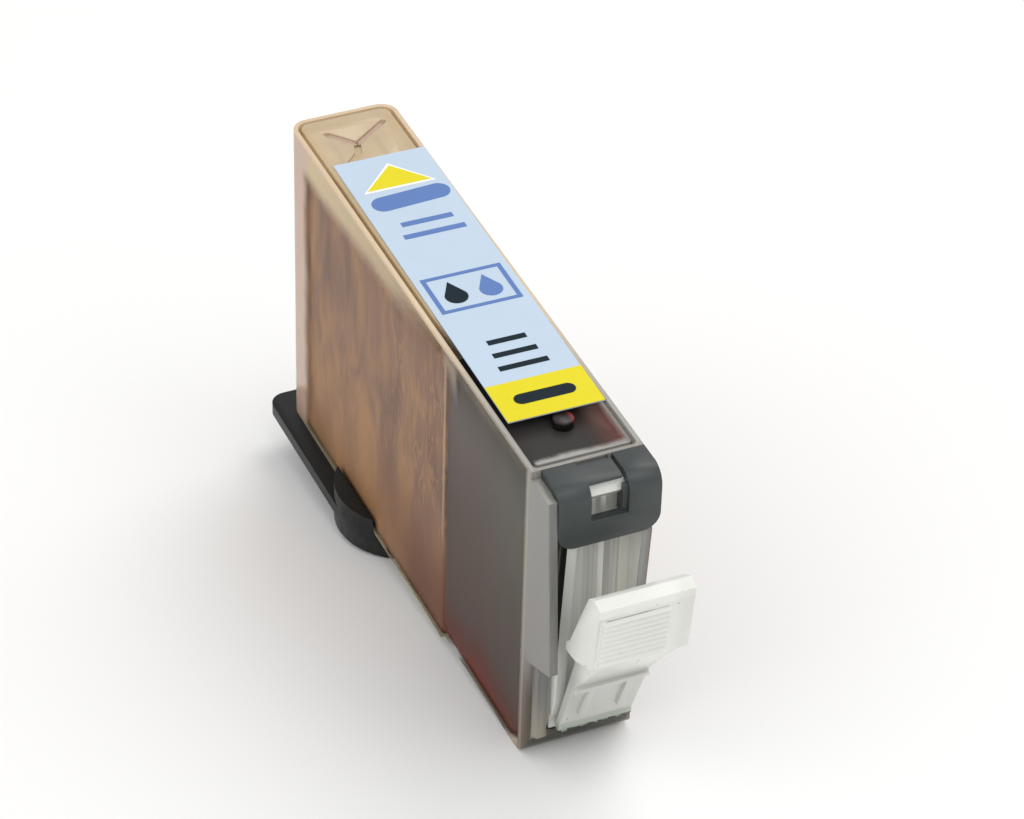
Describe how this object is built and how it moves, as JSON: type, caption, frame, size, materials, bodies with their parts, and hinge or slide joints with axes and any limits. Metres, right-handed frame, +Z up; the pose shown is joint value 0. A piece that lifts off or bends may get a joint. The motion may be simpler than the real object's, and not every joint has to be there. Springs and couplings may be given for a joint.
{
  "type": "ink cartridge",
  "caption": "Slim clear ink tank with a foam chamber and an ink chamber, a sprung latch lever, a black front cap and a shipping cap.",
  "frame": {"origin": "middle of the resting object on the table, at the height of the table top", "axes": "+X to the right seen from the front, +Y from the latch to the back, +Z up; the tank leans with its back raised, as it rests on its shipping cap"},
  "size_m": [0.0168, 0.0874, 0.0459],
  "materials": {
    "clear_tank": "clear moulded plastic, smooth",
    "clear_lid": "clear moulded plastic, faintly tan",
    "plug": "dark plug, satin",
    "sponge": "foam wet with ink, streaked amber brown",
    "ink": "dark liquid",
    "wick": "felt",
    "mesh": "fine mesh",
    "clear_plate": "clear moulded plastic, faintly cloudy",
    "milky_lever": "milky translucent plastic, satin",
    "black_cap": "black plastic, satin sheen",
    "black_base": "black plastic, satin sheen",
    "seal": "soft rubber",
    "label_film": "pale blue film, satin",
    "print_yellow": "printed yellow",
    "print_white": "printed white",
    "print_blue": "printed blue",
    "print_dark": "printed dark"
  },
  "bodies": {
    "tank": {"tank_case": "clear_tank", "tank_lid": "clear_lid", "filler_plug": "plug", "main_sponge": "sponge", "free_ink": "ink", "outlet_wick": "wick", "outlet_mesh": "mesh", "latch_plate": "clear_plate", "front_cap": "black_cap", "label_film": "label_film", "label_yellow": "print_yellow", "label_white": "print_white", "label_blue": "print_blue", "label_dark": "print_dark"},
    "lever": {"latch_lever": "milky_lever"},
    "shipping_cap": {"transport_cap": "black_base", "cap_seal": "seal"}
  },
  "joints": [
    {"name": "lever_squeeze", "type": "hinge", "parent": "tank", "child": "lever", "pos_m": [0.00085, -0.02962, 0.00495], "axis": [1, 0, 0], "range_deg": [-8, 0], "stiffness_Nm_per_rad": 0.25},
    {"name": "cap_pull", "type": "slide", "parent": "tank", "child": "shipping_cap", "axis": [0, 0.1132, -0.9936], "range_m": [0, 0.008]}
  ]
}
